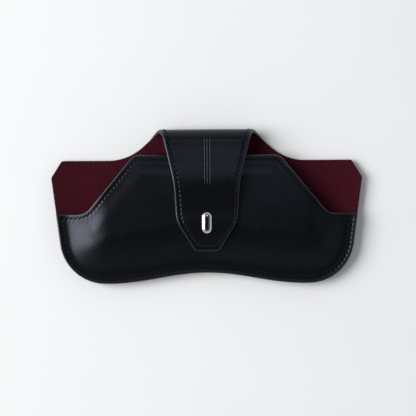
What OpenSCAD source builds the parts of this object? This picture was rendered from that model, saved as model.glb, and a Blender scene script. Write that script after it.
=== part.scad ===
// Slip case for folded glasses: a stitched leather pouch with a tongue-shaped flap.
// It lies on its back. X runs along its length, +Y points to the fold, and Z = 0 is the table.

/* [Pouch] */
// Width across the corners of the two side wings
wing_span = 166; // [156:1:176]
// Depth of the closed case, from its lowest edge to the outside of the fold
case_depth = 82; // [80:0.5:86]
// How far the bottom edge rises at its middle
bottom_dip = 5.7; // [2:0.1:8]
// Half of the distance between the two lowest points of the bottom edge
lobe_x = 52; // [46:1:53]
// Radius of the two lower corners
corner_r = 24.5; // [20:0.5:26]
// Lean of the sides, in degrees from the Y axis
side_lean = 7.7; // [4:0.1:9]
// Height in Y of the wings' outer corners
wing_y = 15.5; // [12:0.5:18]
// Height in Y of the wings' top edge
wing_top_y = 24.6; // [23:0.1:26]
// Distance from the middle to where the back panel meets the fold
neck_x = 31.6; // [29:0.1:33]

/* [Front panel] */
// Height in Y where the mouth edge meets the sides
mouth_y = -3.8; // [-8:0.1:0]
// Height in Y of the raised middle of the mouth edge
hump_y = 27.4; // [24:0.1:28]
// Half width of the foot of that hump
hump_foot_x = 64.7; // [60:0.1:67]
// Half width of the top of that hump
hump_top_x = 38.7; // [36:0.1:41]
// Clear height inside the pocket at its middle
pocket_height = 6.5; // [5.5:0.1:8]

/* [Flap] */
// Half width of the flap where it leaves the fold
flap_root_x = 22.6; // [20:0.1:24]
// Half width of the flap above its shoulders
flap_side_x = 16.3; // [14:0.1:18]
// Height in Y of the flap's shoulders
shoulder_y = -8; // [-10:0.1:-6]
// Half width of the flap's flat tip
tip_x = 6.4; // [5:0.1:8]
// Height in Y of the flap's tip
tip_y = -23.9; // [-25:0.1:-22.5]
// Spacing of the three creased lines down the flap
crease_pitch = 1.45; // [1:0.05:1.6]

/* [Materials] */
// Thickness of the outer leather
leather = 1.3; // [1.1:0.1:1.4]
// Thickness of the lining
lining = 0.8; // [0.7:0.1:0.9]
// Spacing of the stitches
stitch_pitch = 2.4; // [2.2:0.1:3.5]
// Distance of the stitches from the edge
stitch_inset = 2.4; // [2:0.1:3]

/* [Hidden] */
$fn = 48;

// Heights
rim_lift = 2.4;                 // how far the sewn rim stands off the table
lift_reach = 22;                // width of the strip over which the back curves up
seam_width = 4.5;               // flat strip along the sewn edge
swell_reach = 24;               // width over which the front rises to its full height
board = 0.4;                    // thickness of the stiffening boards
board_room = 0.6;               // space left for a board between leather and lining
board_margin = 4;               // strip beside a board where the layers stay apart
board_blend = 4;                // strip beyond it where they come together
ply_gap = 0.1;                  // clearance between the two sewn panels
flap_gap = 0.3;                 // clearance under the flap
sheet = leather + lining;
front_top = 2 * sheet + ply_gap + pocket_height + board_room;
flap_z = front_top + flap_gap;
fold_r = (flap_z + sheet) / 2;
fold_y = case_depth / 2 - fold_r;

// Plan of the pouch, right half
lobe_y = -case_depth / 2;
half_span = wing_span / 2;
corner_y = lobe_y + corner_r;
corner_x = side_x(corner_y - corner_r * sin(side_lean)) - corner_r * cos(side_lean);
corner_at = [corner_x, corner_y];
wing_corner = [half_span, wing_y];
wing_top_corner = [half_span - 5.6, wing_top_y];
wing_round = 2;
sweep_angle = 42.5;             // slope of the neck's sides
sweep_r = 27.5;                 // radius of the curve from wing to neck
sweep_x = neck_x + (fold_y - wing_top_y) / tan(sweep_angle);

// Boards, as half width and lowest and highest Y
back_board_plan = [56, -24, 14];
front_board_plan = [33, -3, 17];

// Area of the front panel where leather and lining stand apart, for its board and the steel disc
front_room_plan = [33, -24, 17];

// Number of columns across the neck and along the side of a panel, and its rows
neck_columns = 6;
side_columns = 18;
rows = [0, 0.05, 0.12, 0.22, 0.32, 0.42, 0.52, 0.62, 0.74, 0.87, 1];

fold_ease = 0.8;                // how closely the sheet keeps its slope as it enters the fold

// Flap
flap_bend_y = -5;               // from here to the tip the flap curves down
flap_bend_r = 60;
shoulder_round = 18;
tip_round = 3;
flap_waist_y = 12;
flap_waist_x = 17.4;
crease_end_y = 12;
crease_width = 0.35;
crease_depth = 0.3;

// Closure and stud
magnet_y = -17.6;
magnet_r = 3.5;
magnet_t = 0.8;
keeper_r = 3.5;
keeper_t = 0.3;
stud_y = -8.5;
stud_ball_r = 3.2;
stud_height = 1.6;
stud_reach = 3;                 // from the stud's middle to each ball's centre
stud_sink = 0.15;
post_r = 0.6;
plate_r = 1.6;
plate_t = 0.3;

// Thread
thread_r = 0.28;
stitch_length = 1.6;
thread_sink = 0.07;             // how far a stitch's middle lies below the leather's surface

black = "#17181c";
wine = "#4a141c";
board_grey = "#6d6860";
thread_black = "#0d0e11";
silver = "#c9cbcf";
steel = "#8d9196";

function side_x(y) = half_span - (wing_y - y) * tan(side_lean);
function bottom_y(x) = lobe_y + (abs(x) < lobe_x ? bottom_dip * (1 + cos(180 * x / lobe_x)) / 2 : 0);
function unit(v) = v / norm(v);
function limit(t) = min(1, max(0, t));

// Points of an arc about c from angle a0 to a1
function arc(c, r, a0, a1, n) =
    [for (i = [0:n]) let (a = a0 + (a1 - a0) * i / n) c + r * [cos(a), sin(a)]];

// Turn from one angle to another the short way round
function short_turn(a0, a1) = a1 - a0 > 180 ? a1 - a0 - 360 : a1 - a0 < -180 ? a1 - a0 + 360 : a1 - a0;

// The arc of radius r that rounds corner b of the line a, b, c
function round_corner(a, b, c, r, n) =
    let (
        u = unit(a - b),
        v = unit(c - b),
        half = acos(u * v) / 2,
        centre = b + unit(u + v) * r / sin(half),
        p = b + u * r / tan(half) - centre,
        q = b + v * r / tan(half) - centre,
        a0 = atan2(p[1], p[0])
    )
    arc(centre, r, a0, a0 + short_turn(a0, atan2(q[1], q[0])), n);

// Length of a path up to each of its points
function lengths(p) =
    [for (i = 0, s = 0; i < len(p); s = s + (i + 1 < len(p) ? norm(p[i + 1] - p[i]) : 0), i = i + 1) s];

// Points of a path at the given distances along it
function along(p, distances) =
    let (
        s = lengths(p),
        xs = [for (i = [0:len(p) - 1]) [s[i], p[i][0]]],
        ys = [for (i = [0:len(p) - 1]) [s[i], p[i][1]]]
    )
    [for (d = distances) [lookup(d, xs), lookup(d, ys)]];

function path_length(p) = lengths(p)[len(p) - 1];

// Points that divide a path into n equal lengths
function spread(p, n) = let (all = path_length(p)) along(p, [for (i = [0:n]) all * i / n]);

// A path without its first and last stretches
function trim(p, first, last) =
    let (s = lengths(p), all = path_length(p))
    concat(along(p, [first]), [for (i = [0:len(p) - 1]) if (s[i] > first && s[i] < all - last) p[i]],
           along(p, [all - last]));

// A path without its first point
function tail(p) = [for (i = [1:len(p) - 1]) p[i]];

// A right half run from the middle outwards, mirrored into a whole run from left to right
function both_sides(half) =
    concat([for (i = [len(half) - 1:-1:1]) [-half[i][0], half[i][1]]], half);

// Sewn edge from the middle of the bottom up to the wing's corner
bottom_run = [for (i = [0:16]) let (x = lobe_x * i / 16) [x, bottom_y(x)]];
corner_run = arc(corner_at, corner_r, -90, -side_lean, 12);
wing_corner_run = round_corner([side_x(0), 0], wing_corner, wing_top_corner, wing_round, 3);

// Free edge from the neck to the top corner of the wing
sweep_run = round_corner([neck_x, fold_y], [sweep_x, wing_top_y], wing_top_corner, sweep_r, 12);
top_corner_run = round_corner([sweep_x, wing_top_y], wing_top_corner, wing_corner, wing_round, 3);
free_edge = concat([[neck_x, fold_y]], sweep_run, top_corner_run);

// Mouth edge of the front panel, from the middle of the hump to the side
mouth_end = [side_x(mouth_y), mouth_y];
mouth_edge = concat(
    [[0, hump_y]],
    round_corner([0, hump_y], [hump_top_x, hump_y], [hump_foot_x, mouth_y], 6, 5),
    round_corner([hump_top_x, hump_y], [hump_foot_x, mouth_y], mouth_end, 9, 6),
    [mouth_end]
);

// Distance of a point of the plan from the sewn sides and bottom
function rim_distance(p) =
    let (
        x = abs(p[0]),
        from_corner = [x, p[1]] - corner_at,
        in_corner = x > corner_x && atan2(from_corner[1], from_corner[0]) < -side_lean,
        side = (side_x(p[1]) - x) * cos(side_lean)
    )
    in_corner ? corner_r - norm(from_corner) : min(side, p[1] - bottom_y(x));

// Height of the underside of the back leather
function base_z(p) = rim_lift * pow(1 - limit(rim_distance(p) / lift_reach), 2);

// Height of the pocket's inside
function pocket_z(p) = pocket_height * sin(90 * limit((rim_distance(p) - seam_width) / swell_reach));

// Room between leather and lining for a board
function board_gap(p, plan) =
    let (out = norm([max(0, abs(p[0]) - plan[0]), max(0, plan[1] - p[1], p[1] - plan[2])]))
    board_room * limit(1 - (out - board_margin) / board_blend);

function back_leather_top(p) = base_z(p) + leather;
function back_lining_low(p) = back_leather_top(p) + board_gap(p, back_board_plan);
function front_lining_low(p) = base_z(p) + sheet + ply_gap + pocket_z(p);
function front_leather_low(p) = front_lining_low(p) + lining + board_gap(p, front_room_plan);
function front_leather_top(p) = front_leather_low(p) + leather;

// Grid of plan points between a lower run and an upper run
function ruled(low_run, high_run, steps) =
    [for (i = [0:len(low_run) - 1]) [for (v = steps) low_run[i] * (1 - v) + high_run[i] * v]];

back_low_half = concat(
    spread([for (p = bottom_run) if (p[0] <= 0.62 * lobe_x) p], neck_columns),
    tail(spread([for (p = concat(bottom_run, corner_run, [wing_corner_run[0]])) if (p[0] > 0.6 * lobe_x) p],
                side_columns)),
    tail(wing_corner_run)
);
back_high_half = concat(
    [for (i = [0:neck_columns]) [neck_x * i / neck_columns, fold_y]],
    tail(spread(concat([[neck_x, fold_y]], sweep_run, [top_corner_run[0]]), side_columns)),
    tail(top_corner_run)
);
back_plan = ruled(both_sides(back_low_half), both_sides(back_high_half), rows);

side_end = [side_x(mouth_y - 2), mouth_y - 2];
front_low_half = concat(
    spread([for (p = bottom_run) if (p[0] <= 0.7 * lobe_x) p], neck_columns),
    tail(spread([for (p = concat(bottom_run, corner_run, [side_end])) if (p[0] > 0.68 * lobe_x) p],
                side_columns))
);
front_high_half = concat(
    [for (i = [0:neck_columns]) [hump_top_x * 0.85 * i / neck_columns, hump_y]],
    tail(spread(concat([[hump_top_x * 0.85, hump_y]], tail(mouth_edge)), side_columns))
);
front_plan = ruled(both_sides(front_low_half), both_sides(front_high_half), rows);

// Plan grid of a rectangular board
function board_grid(plan) =
    let (columns = 12, lines = 8)
    [for (i = [0:columns])
        [for (j = [0:lines])
            [plan[0] * (2 * i / columns - 1), plan[1] + (plan[2] - plan[1]) * j / lines]]];

// Closed sheet over a plan grid, between two tables of heights
module slab(plan, low, high) {
    m = len(plan);
    n = len(plan[0]);
    function at(i, j) = i * n + j;
    points = concat(
        [for (i = [0:m - 1], j = [0:n - 1]) [plan[i][j][0], plan[i][j][1], low[i][j]]],
        [for (i = [0:m - 1], j = [0:n - 1]) [plan[i][j][0], plan[i][j][1], high[i][j]]]
    );
    top = m * n;
    under = [for (i = [0:m - 2], j = [0:n - 2]) each
        [[at(i, j), at(i + 1, j), at(i + 1, j + 1)], [at(i, j), at(i + 1, j + 1), at(i, j + 1)]]];
    rim = concat(
        [for (i = [0:m - 1]) at(i, 0)],
        [for (j = [1:n - 1]) at(m - 1, j)],
        [for (i = [m - 2:-1:0]) at(i, n - 1)],
        [for (j = [n - 2:-1:1]) at(0, j)]
    );
    over = [for (f = under) [f[0] + top, f[2] + top, f[1] + top]];
    wall = [for (k = [0:len(rim) - 1]) let (a = rim[k], b = rim[(k + 1) % len(rim)]) each
        [[a, a + top, b + top], [a, b + top, b]]];
    polyhedron(points, concat(under, over, wall));
}

function table_of(plan, f) = [for (column = plan) [for (p = column) f(p)]];

// A round rod from a to b
module rod(a, b, r) {
    v = b - a;
    translate(a) rotate([0, acos(v[2] / norm(v)), atan2(v[1], v[0])]) cylinder(h = norm(v), r = r, $fn = 16);
}

// A plan path moved sideways by d, without the points that a tight corner would turn back
function inset_path(p, d) =
    let (
        last = len(p) - 1,
        moved = [for (i = [0:last])
            let (t = unit(p[min(i + 1, last)] - p[max(i - 1, 0)])) p[i] + d * [-t[1], t[0]]]
    )
    [for (q = moved) if (min([for (o = p) norm(o - q)]) > 0.97 * abs(d)) q];

// Stitches along a plan path, inset from it to the given side, on the surface z = height(p)
module stitches(path, side, height) {
    line = inset_path(path, side * stitch_inset);
    all = path_length(line);
    count = floor(all / stitch_pitch);
    for (k = [0:count - 1]) {
        middle = (k + 0.5) * all / count;
        ends = along(line, [middle - stitch_length / 2, middle + stitch_length / 2]);
        rod([ends[0][0], ends[0][1], height(ends[0])], [ends[1][0], ends[1][1], height(ends[1])], thread_r);
    }
}

module mirrored() {
    children();
    mirror([1, 0, 0]) children();
}

module back_leather() {
    color(black) slab(back_plan, table_of(back_plan, function (p) base_z(p)),
                      table_of(back_plan, function (p) back_leather_top(p)));
}

module back_lining() {
    color(wine) slab(back_plan, table_of(back_plan, function (p) back_lining_low(p)),
                     table_of(back_plan, function (p) back_lining_low(p) + lining));
}

module back_board() {
    grid = board_grid(back_board_plan);
    room = (board_room - board) / 2;
    color(board_grey) slab(grid, table_of(grid, function (p) back_leather_top(p) + room),
                           table_of(grid, function (p) back_leather_top(p) + room + board));
}

module front_leather() {
    color(black) slab(front_plan, table_of(front_plan, function (p) front_leather_low(p)),
                      table_of(front_plan, function (p) front_leather_top(p)));
}

module front_lining() {
    color(wine) slab(front_plan, table_of(front_plan, function (p) front_lining_low(p)),
                     table_of(front_plan, function (p) front_lining_low(p) + lining));
}

module front_board() {
    grid = board_grid(front_board_plan);
    room = (board_room - board) / 2;
    color(board_grey) slab(grid, table_of(grid, function (p) front_lining_low(p) + lining + room),
                           table_of(grid, function (p) front_lining_low(p) + lining + room + board));
}

module keeper_disc() {
    here = front_lining_low([0, magnet_y]) + lining + board_room / 2;
    slope = (front_lining_low([0, magnet_y + 2]) - front_lining_low([0, magnet_y - 2])) / 4;
    color(steel) translate([0, magnet_y, here]) rotate([atan(slope), 0, 0])
        cylinder(h = keeper_t, r = keeper_r, center = true);
}

// Sewn edge from the middle of the bottom to the mouth, and the wing's edge from there to the neck
sewn_path = concat(bottom_run, corner_run, [side_end]);
wing_path = concat([mouth_end], wing_corner_run, [for (i = [len(free_edge) - 1:-1:0]) free_edge[i]]);

module seam_thread() {
    color(thread_black) mirrored() {
        stitches(sewn_path, 1, function (p) front_leather_top(p) - thread_sink);
        stitches(sewn_path, 1, function (p) base_z(p) + thread_sink);
    }
}

module wing_thread() {
    color(thread_black) mirrored() {
        stitches(wing_path, 1, function (p) back_lining_low(p) + lining - thread_sink);
        stitches(wing_path, 1, function (p) max(thread_r, base_z(p) + thread_sink));
    }
}

module mouth_thread() {
    path = trim(mouth_edge, 0, stitch_inset + stitch_pitch / 2);
    color(thread_black) mirrored() stitches(path, -1, function (p) front_leather_top(p) - thread_sink);
}

// Half width of the sheet round the fold, at a turn of t (0 at the back, 1 at the flap)
function fold_x(t) =
    let (
        run = fold_r * PI,
        from = -fold_ease * run / tan(sweep_angle),
        to = -fold_ease * run * (flap_root_x - flap_waist_x) / (fold_y - flap_waist_y)
    )
    neck_x * (2 * pow(t, 3) - 3 * pow(t, 2) + 1) + flap_root_x * (3 * pow(t, 2) - 2 * pow(t, 3))
    + from * (pow(t, 3) - 2 * pow(t, 2) + t) + to * (pow(t, 3) - pow(t, 2));

// A band of the fold between two radii
module fold_band(r_in, r_out) {
    steps = 20;
    function ring(t) =
        let (a = 180 * t - 90, x = fold_x(t), along_y = [0, cos(a), sin(a)], mid = [0, fold_y, fold_r])
        [mid + r_in * along_y - [x, 0, 0], mid + r_in * along_y + [x, 0, 0],
         mid + r_out * along_y + [x, 0, 0], mid + r_out * along_y - [x, 0, 0]];
    points = [for (k = [0:steps]) each ring(k / steps)];
    sides = [for (k = [0:steps - 1], e = [0:3])
        let (a = 4 * k + e, b = 4 * k + (e + 1) % 4) each [[a, a + 4, b], [b, a + 4, b + 4]]];
    last = 4 * steps;
    polyhedron(points, concat([[0, 1, 2], [0, 2, 3]], sides,
                              [[last, last + 2, last + 1], [last, last + 3, last + 2]]));
}

module fold_leather() {
    color(black) fold_band(fold_r - leather, fold_r);
}

module fold_lining() {
    color(wine) fold_band(fold_r - sheet, fold_r - leather);
}

module fold_thread() {
    run = fold_r * PI;
    count = floor(run / stitch_pitch);
    step = 1 / count;
    half = stitch_length / run / 2;
    function place(t) =
        let (a = 180 * t - 90)
        [fold_x(t) - stitch_inset, fold_y + (fold_r - thread_r) * cos(a), fold_r + (fold_r - thread_r) * sin(a)];
    color(thread_black) mirrored() for (k = [1:count - 1])
        rod(place((k + 0.5) * step - half), place((k + 0.5) * step + half), thread_r);
}

// Right half of the flap's edge, from the fold to the middle of its tip
flap_edge = concat(
    [[flap_root_x, fold_y]],
    round_corner([flap_root_x, fold_y], [flap_waist_x, flap_waist_y], [flap_side_x, shoulder_y], 60, 4),
    round_corner([flap_waist_x, flap_waist_y], [flap_side_x, shoulder_y], [tip_x, tip_y], shoulder_round, 6),
    round_corner([flap_side_x, shoulder_y], [tip_x, tip_y], [0, tip_y], tip_round, 4),
    [[0, tip_y]]
);

// Layer of the flap, from h to h + t above its underside: flat near the fold, then curving down
module flap_layer(h, t) {
    left = [for (i = [len(flap_edge) - 2:-1:0]) [-flap_edge[i][0], flap_edge[i][1]]];
    intersection() {
        linear_extrude(height = flap_z + 2 * sheet) polygon(concat(flap_edge, left));
        union() {
            translate([-flap_root_x - 1, flap_bend_y, flap_z + h])
                cube([2 * flap_root_x + 2, fold_y - flap_bend_y, t]);
            intersection() {
                translate([-flap_root_x - 1, flap_bend_y, flap_z - flap_bend_r]) rotate([0, 90, 0]) difference() {
                    cylinder(h = 2 * flap_root_x + 2, r = flap_bend_r + h + t);
                    translate([0, 0, -1]) cylinder(h = 2 * flap_root_x + 4, r = flap_bend_r + h);
                }
                translate([-flap_root_x - 1, tip_y - 1, 0])
                    cube([2 * flap_root_x + 2, flap_bend_y - tip_y + 1, flap_z + 2 * sheet]);
            }
        }
    }
}

function tip_turn(y) = asin((flap_bend_y - y) / flap_bend_r);

// Places children on the underside of the flap at height y, turned to lie on its curve
module on_flap(y) {
    translate([0, flap_bend_y, flap_z - flap_bend_r]) rotate([tip_turn(y), 0, 0])
        translate([0, 0, flap_bend_r]) children();
}

// A bar with round ends along Y
module pill(r, reach, t) {
    translate([-r, -reach, 0]) cube([2 * r, 2 * reach, t]);
    for (s = [-1, 1]) translate([0, s * reach, 0]) cylinder(h = t, r = r);
}

module flap_leather() {
    color(black) difference() {
        flap_layer(lining, leather);
        for (k = [-1:1]) translate([k * crease_pitch - crease_width / 2, crease_end_y, flap_z + sheet - crease_depth])
            cube([crease_width, fold_y, 1]);
        on_flap(magnet_y) translate([0, 0, lining - 0.5]) cylinder(h = 1, r = magnet_r + 0.2);
        on_flap(stud_y) {
            translate([0, 0, lining - 0.5]) pill(plate_r + 0.1, stud_reach, 0.5 + plate_t + 0.1);
            for (s = [-1, 1]) translate([0, s * stud_reach, 0]) cylinder(h = 4, r = post_r + 0.1);
        }
    }
}

module flap_lining() {
    color(wine) difference() {
        flap_layer(0, lining);
        on_flap(magnet_y) translate([0, 0, lining - 0.45]) cylinder(h = 1, r = magnet_r + 0.2);
    }
}

module magnet_disc() {
    color(steel) on_flap(magnet_y) translate([0, 0, lining - 0.4]) cylinder(h = magnet_t, r = magnet_r);
}

module stud() {
    base = sheet - stud_sink;
    drop = stud_ball_r - stud_height;
    color(silver) on_flap(stud_y) {
        translate([0, 0, base - drop]) difference() {
            union() {
                for (s = [-1, 1]) translate([0, s * stud_reach, 0]) sphere(r = stud_ball_r);
                translate([0, -stud_reach, 0]) rotate([-90, 0, 0]) cylinder(h = 2 * stud_reach, r = stud_ball_r);
            }
            translate([-9, -9, drop - 18]) cube([18, 18, 18]);
        }
        for (s = [-1, 1]) translate([0, s * stud_reach, lining + 0.05]) cylinder(h = base - lining, r = post_r);
    }
}

module stud_backplate() {
    color(steel) on_flap(stud_y) difference() {
        translate([0, 0, lining + 0.06]) pill(plate_r, stud_reach, plate_t);
        for (s = [-1, 1]) translate([0, s * stud_reach, 0]) cylinder(h = 4, r = post_r + 0.05);
    }
}

// Height of the flap's upper side
function flap_top(p) =
    p[1] > flap_bend_y ? flap_z + sheet
    : flap_z - flap_bend_r + sqrt(pow(flap_bend_r + sheet, 2) - pow(flap_bend_y - p[1], 2));

module flap_thread() {
    path = trim(flap_edge, stitch_inset / 2, 0);
    color(thread_black) mirrored() stitches(path, -1, function (p) flap_top(p) - thread_sink);
}

back_leather();
back_board();
back_lining();
front_leather();
front_board();
front_lining();
keeper_disc();
seam_thread();
wing_thread();
mouth_thread();
fold_leather();
fold_lining();
fold_thread();
flap_leather();
flap_lining();
flap_thread();
magnet_disc();
stud();
stud_backplate();
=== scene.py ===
"""A slip case for folded glasses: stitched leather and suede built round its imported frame.

All shapes are worked out in millimetres on a flat cutting plan and then laid on the form of
the closed case. A plan point is (x, s): x runs along the case, and s runs up the back panel,
round the fold and down the flap. On the pouch itself s is simply the case's own Y.
"""

from __future__ import annotations

import logging
import math
from collections.abc import Callable
from dataclasses import dataclass, field
from enum import Enum
from functools import cache

import bpy
import numpy as np
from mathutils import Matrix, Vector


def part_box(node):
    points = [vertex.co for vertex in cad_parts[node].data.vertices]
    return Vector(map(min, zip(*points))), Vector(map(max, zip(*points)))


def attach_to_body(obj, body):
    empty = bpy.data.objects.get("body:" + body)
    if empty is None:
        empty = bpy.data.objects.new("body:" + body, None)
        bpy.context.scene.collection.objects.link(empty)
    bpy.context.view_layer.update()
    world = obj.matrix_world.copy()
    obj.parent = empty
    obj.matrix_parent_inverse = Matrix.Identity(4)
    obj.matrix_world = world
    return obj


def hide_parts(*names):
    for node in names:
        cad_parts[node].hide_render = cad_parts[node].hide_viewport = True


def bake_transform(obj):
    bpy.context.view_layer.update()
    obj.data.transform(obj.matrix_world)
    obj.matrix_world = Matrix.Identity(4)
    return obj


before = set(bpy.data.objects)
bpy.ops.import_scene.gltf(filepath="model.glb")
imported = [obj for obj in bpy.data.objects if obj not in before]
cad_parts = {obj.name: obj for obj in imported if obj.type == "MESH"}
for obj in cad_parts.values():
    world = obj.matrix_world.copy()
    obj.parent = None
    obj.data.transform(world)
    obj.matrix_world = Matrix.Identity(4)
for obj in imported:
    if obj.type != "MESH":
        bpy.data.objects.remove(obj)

log = logging.getLogger("glasses_case")
MM = 0.001
BAND = 4.4  # width in mm of the strip along a panel's edge that keeps exact rows
FAR_IN = 20.0  # distance from the edge, in mm, that counts as the middle of a panel
TINY = 1e-9

Array = np.ndarray
Point = tuple[float, float]
Socket = bpy.types.NodeSocket
Relief = Callable[[Array, float, Array], Array]
Placing = Callable[[Array, Array], Array]


# -------- colour and shader helpers


def linear(hex_colour: str) -> tuple[float, float, float, float]:
    """Turn an sRGB hex colour into Blender's linear colour.

    Args:
        hex_colour: a colour such as "#17181c".

    Returns:
        Red, green and blue in linear light, with an alpha of 1.
    """
    parts = [int(hex_colour[i : i + 2], 16) / 255 for i in (1, 3, 5)]
    light = [c / 12.92 if c <= 0.04045 else ((c + 0.055) / 1.055) ** 2.4 for c in parts]
    return light[0], light[1], light[2], 1.0


def per_mm(size: float) -> float:
    """Texture scale on coordinates in metres for a pattern that repeats every `size` mm."""
    return 1000.0 / size


def ranged(start: float, end: float, low: float = 0.0, high: float = 1.0) -> dict[str, float]:
    """Settings that map start to low and end to high."""
    return {"From Min": start, "From Max": end, "To Min": low, "To Max": high}


def cleared(owner: bpy.types.Material | bpy.types.World) -> bpy.types.Material | bpy.types.World:
    """Give a material or world an empty node tree.

    Args:
        owner: the material or world.

    Returns:
        The same one.
    """
    owner.use_nodes = True
    owner.node_tree.nodes.clear()
    return owner


def add_node(
    owner: bpy.types.Material | bpy.types.World, kind: str, settings: dict | None = None,
    links: dict | None = None, output: int | str = 0,
) -> Socket | None:
    """Add one shader node with its settings and what feeds it.

    Args:
        owner: the material or world that gets the node.
        kind: Blender's name of the node type, without "ShaderNode" before it.
        settings: node properties by name, or values of input sockets by name or number.
        links: for an input socket's name or number, the output socket that feeds it.
        output: name or number of the output to return.

    Returns:
        That output socket, or None for a node that has none.
    """
    tree = owner.node_tree
    node = tree.nodes.new("ShaderNode" + kind)
    for key, value in (settings or {}).items():
        if isinstance(key, int) or key in node.inputs:
            node.inputs[key].default_value = value
        else:
            setattr(node, key, value)
    for key, source in (links or {}).items():
        tree.links.new(source, node.inputs[key])
    return node.outputs[output] if node.outputs else None


# -------- finishes


@dataclass(frozen=True)
class Coating:
    """What every finish has: a name, and two sRGB colours that its pattern mixes."""

    name: str
    base: str
    second: str

    def start(self) -> tuple[bpy.types.Material, Socket]:
        """Make the empty material and its Object coordinates."""
        m = cleared(bpy.data.materials.new(self.name))
        return m, add_node(m, "TexCoord", output="Object")

    def coat(
        self, m: bpy.types.Material, share: Socket, shader: dict, varied: dict[str, Socket]
    ) -> bpy.types.Material:
        """Mix the two colours and join everything to the shader and the output.

        Args:
            m: the material.
            share: how much of the second colour shows.
            shader: settings of the shader.
            varied: what varies over the surface besides its colour.

        Returns:
            The finished material.
        """
        colours = {"data_type": "RGBA", 6: linear(self.base), 7: linear(self.second)}
        varied = {"Base Color": add_node(m, "Mix", colours, {0: share}, output=2), **varied}
        surface = add_node(m, "BsdfPrincipled", shader, varied)
        add_node(m, "OutputMaterial", links={"Surface": surface})
        return m


@dataclass(frozen=True)
class CalfLeather(Coating):
    """Box calf, drum dyed black and lightly waxed: tight smooth grain with a satin sheen."""

    name: str = "waxed_black_calf"
    base: str = "#050608"
    second: str = "#080a0e"
    pore_mm: float = 0.42
    skin_mm: float = 0.9
    fold_mm: float = 7.0
    edge_wear_highlight_mm: Point = (0.5, 1.6)
    roughness: Point = (0.25, 0.35)
    wax: str = "#e2e9ff"

    def build(self) -> bpy.types.Material:
        """Grain is small cells with soft walls; the wax wears in patches of 7 mm, and the leather turns paler
        towards the edge, partly as edge wear and partly as a painted highlight of the rounded edge.

        Returns:
            The material.
        """
        m, place = self.start()
        patches = add_node(m, "TexNoise", {"Scale": per_mm(self.fold_mm), "Detail": 4.0, "Roughness": 0.6},
                           {"Vector": place})
        cells = {"feature": "SMOOTH_F1", "Scale": per_mm(self.pore_mm), "Smoothness": 0.6}
        pores = add_node(m, "TexVoronoi", cells, {"Vector": place})
        fine = add_node(m, "TexNoise", {"Scale": per_mm(self.skin_mm), "Detail": 6.0, "Roughness": 0.65},
                        {"Vector": place})
        inset = add_node(m, "Attribute", {"attribute_name": "inset_mm"}, output="Fac")
        # Paler colour from 1.6 mm in to 0.5 mm from the edge: partly edge wear, partly a painted highlight of
        # the edge's gloss.
        edge_wear_highlight = add_node(m, "MapRange", ranged(*self.edge_wear_highlight_mm, 1.0, 0.0), {"Value": inset})
        worn = add_node(m, "MapRange", ranged(0.35, 0.7), {"Value": patches})
        share = add_node(m, "Math", {"operation": "MAXIMUM", "use_clamp": True}, {0: worn, 1: edge_wear_highlight})
        gloss = add_node(m, "MapRange", ranged(0.3, 0.7, *self.roughness), {"Value": fine})
        grain = add_node(m, "Bump", {"Strength": 0.16, "Distance": 0.00008}, {"Height": pores})
        skin = add_node(m, "Bump", {"Strength": 0.22, "Distance": 0.00012}, {"Height": fine, "Normal": grain})
        shader = {"IOR": 1.5, "Specular IOR Level": 0.36, "Specular Tint": linear(self.wax)}
        return self.coat(m, share, shader, {"Roughness": gloss, "Normal": skin})


@dataclass(frozen=True)
class EdgePaint(Coating):
    """Acrylic edge paint, brushed on the cut edge and burnished: a narrow glossy black line, coloured dark
    grey as a painted highlight of the light that the rounded edge catches.
    """

    name: str = "burnished_edge_paint"
    # Dark greys rather than black: a painted highlight of the glossy black edge.
    base: str = "#0e0f13"
    second: str = "#17191f"
    streak_mm: float = 1.6
    roughness: Point = (0.26, 0.40)

    def build(self) -> bpy.types.Material:
        """The brushed coat is slightly wavy; its two dark greys, paler than the leather beside it, are a
        painted highlight along the edge.

        Returns:
            The material.
        """
        m, place = self.start()
        streaks = add_node(m, "TexNoise", {"Scale": per_mm(self.streak_mm), "Detail": 3.0, "Roughness": 0.5},
                           {"Vector": place})
        gloss = add_node(m, "MapRange", ranged(0.3, 0.7, *self.roughness), {"Value": streaks})
        waves = add_node(m, "Bump", {"Strength": 0.25, "Distance": 0.0001}, {"Height": streaks})
        return self.coat(m, streaks, {"IOR": 1.5}, {"Roughness": gloss, "Normal": waves})


@dataclass(frozen=True)
class GoatSuede(Coating):
    """Goat suede, buffed on the flesh side: a short nap that is matt and a little lighter in patches."""

    name: str = "buffed_wine_suede"
    base: str = "#300914"
    second: str = "#420e1c"
    nap_tips: str = "#a05068"
    fibre_mm: float = 0.28
    brush_mm: float = 5.0

    def build(self) -> bpy.types.Material:
        """Fine fibres give a felted bump; brushed patches of some 5 mm shift the tone.

        Returns:
            The material.
        """
        m, place = self.start()
        patches = add_node(m, "TexNoise", {"Scale": per_mm(self.brush_mm), "Detail": 5.0, "Roughness": 0.65},
                           {"Vector": place})
        felt = {"Scale": per_mm(self.fibre_mm), "Detail": 4.0, "Roughness": 0.75, "Distortion": 0.6}
        fibres = add_node(m, "TexNoise", felt, {"Vector": place})
        tone = add_node(m, "Math", {"operation": "MULTIPLY_ADD", 1: 0.55}, {0: patches, 2: fibres})
        share = add_node(m, "MapRange", ranged(0.5, 1.05), {"Value": tone})
        nap = add_node(m, "Bump", {"Strength": 0.45, "Distance": 0.00015}, {"Height": fibres})
        shader = {"Roughness": 0.95, "Specular IOR Level": 0.10, "Sheen Weight": 0.10,
                  "Sheen Roughness": 0.5, "Sheen Tint": linear(self.nap_tips)}
        return self.coat(m, share, shader, {"Normal": nap})


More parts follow.
